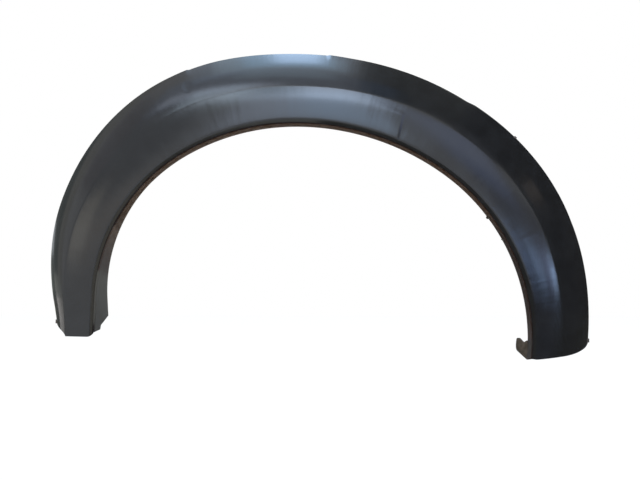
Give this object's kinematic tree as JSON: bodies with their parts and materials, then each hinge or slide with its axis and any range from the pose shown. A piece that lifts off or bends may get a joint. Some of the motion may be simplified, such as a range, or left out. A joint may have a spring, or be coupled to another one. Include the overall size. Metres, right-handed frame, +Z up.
{
  "type": "wheel arch trim",
  "caption": "Moulded plastic wheel arch trim with a flat band, a sloping outer band, a screwed inner lip and an anchor ear at one foot.",
  "frame": {"origin": "midway between the two screw holes at the crown of the lip", "axes": "+Z up on the vehicle, +X along the vehicle to the longer leg, -Y out of the body towards the viewer"},
  "size_m": [1.1076, 0.0592, 0.6403],
  "materials": {
    "trim_plastic": "satin black, fine moulded grain"
  },
  "bodies": {
    "root": {"arch_trim": "trim_plastic"}
  },
  "joints": []
}
